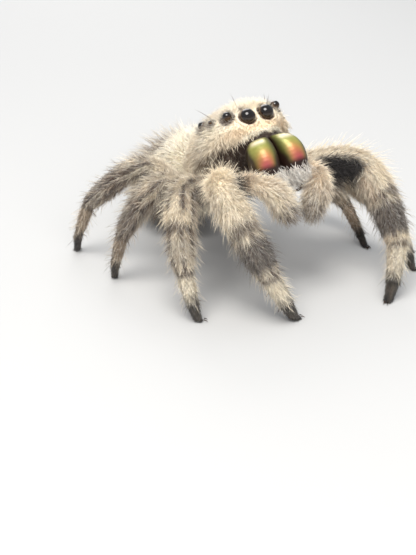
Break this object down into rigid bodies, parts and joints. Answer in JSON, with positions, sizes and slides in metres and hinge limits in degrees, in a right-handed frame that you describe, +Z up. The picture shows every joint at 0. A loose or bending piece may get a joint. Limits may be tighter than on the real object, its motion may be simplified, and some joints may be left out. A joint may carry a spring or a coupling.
{
  "type": "jumping spider",
  "caption": "Life-size jumping spider with cream and grey-brown hair, big dark front eyes and green and pink jaws, standing with its head raised.",
  "frame": {"origin": "on the floor, under the middle of the whole spider with its legs", "axes": "+Z up, -Y the way the spider faces, +X its left side"},
  "size_m": [0.0134, 0.0166, 0.0082],
  "materials": {
    "cream_coat": "short dense hair, cream to grey-brown",
    "leg_coat": "long soft hair, banded cream and brown",
    "foot_coat": "short black hair",
    "eye": "wet gloss, nearly black",
    "green_metal": "iridescent green, orange and pink gloss",
    "dark_horn": "dark polished horn"
  },
  "bodies": {
    "root": {"cephalothorax": "cream_coat", "abdomen": "cream_coat", "spinnerets": "dark_horn", "left_front_middle_eye": "eye", "left_front_side_eye": "eye", "left_rear_middle_eye": "eye", "left_rear_side_eye": "eye", "left_chelicera": "green_metal", "left_fang": "dark_horn", "left_palp_upper": "cream_coat", "left_palp_lower": "cream_coat", "left_leg_1_femur": "leg_coat", "left_leg_1_patella": "leg_coat", "left_leg_1_tibia": "leg_coat", "left_leg_1_metatarsus": "leg_coat", "left_leg_1_tarsus": "foot_coat", "left_leg_2_femur": "leg_coat", "left_leg_2_patella": "leg_coat", "left_leg_2_tibia": "leg_coat", "left_leg_2_metatarsus": "leg_coat", "left_leg_2_tarsus": "foot_coat", "left_leg_3_femur": "leg_coat", "left_leg_3_patella": "leg_coat", "left_leg_3_tibia": "leg_coat", "left_leg_3_metatarsus": "leg_coat", "left_leg_3_tarsus": "foot_coat", "left_leg_4_femur": "leg_coat", "left_leg_4_patella": "leg_coat", "left_leg_4_tibia": "leg_coat", "left_leg_4_metatarsus": "leg_coat", "left_leg_4_tarsus": "foot_coat", "right_front_middle_eye": "eye", "right_front_side_eye": "eye", "right_rear_middle_eye": "eye", "right_rear_side_eye": "eye", "right_chelicera": "green_metal", "right_fang": "dark_horn", "right_palp_upper": "cream_coat", "right_palp_lower": "cream_coat", "right_leg_1_femur": "leg_coat", "right_leg_1_patella": "leg_coat", "right_leg_1_tibia": "leg_coat", "right_leg_1_metatarsus": "leg_coat", "right_leg_1_tarsus": "foot_coat", "right_leg_2_femur": "leg_coat", "right_leg_2_patella": "leg_coat", "right_leg_2_tibia": "leg_coat", "right_leg_2_metatarsus": "leg_coat", "right_leg_2_tarsus": "foot_coat", "right_leg_3_femur": "leg_coat", "right_leg_3_patella": "leg_coat", "right_leg_3_tibia": "leg_coat", "right_leg_3_metatarsus": "leg_coat", "right_leg_3_tarsus": "foot_coat", "right_leg_4_femur": "leg_coat", "right_leg_4_patella": "leg_coat", "right_leg_4_tibia": "leg_coat", "right_leg_4_metatarsus": "leg_coat", "right_leg_4_tarsus": "foot_coat"}
  },
  "joints": []
}
